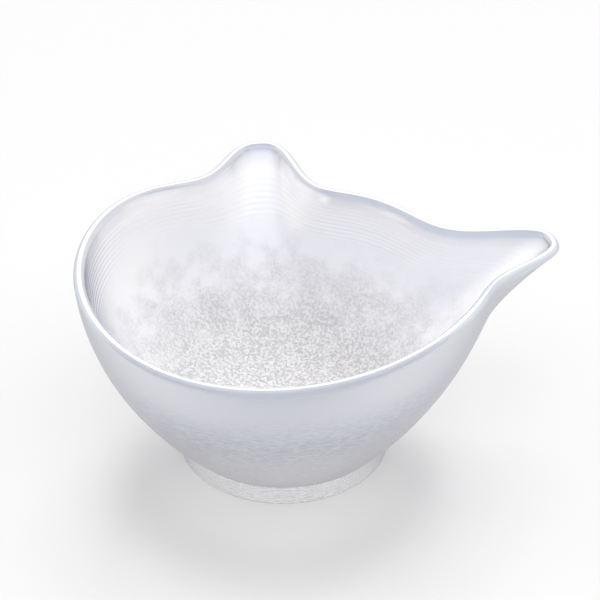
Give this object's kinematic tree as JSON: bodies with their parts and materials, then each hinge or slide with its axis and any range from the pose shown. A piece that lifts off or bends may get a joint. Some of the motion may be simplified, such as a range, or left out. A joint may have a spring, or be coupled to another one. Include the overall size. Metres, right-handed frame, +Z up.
{
  "type": "footed glass bowl",
  "caption": "Small open bowl of clear glass with a round bead rim, two pointed pouring ears and a low solid round foot.",
  "frame": {"origin": "centre of the foot's flat underside, on the table", "axes": "+Z up out of the bowl, +Y towards the two ears, with x = 0 the mirror plane between them"},
  "size_m": [0.1186, 0.1277, 0.0638],
  "materials": {
    "glass": "clear glass, polished rim, fine stipple inside the lower half and fine ripples on the wall"
  },
  "bodies": {
    "root": {"bowl": "glass", "foot": "glass"}
  },
  "joints": []
}
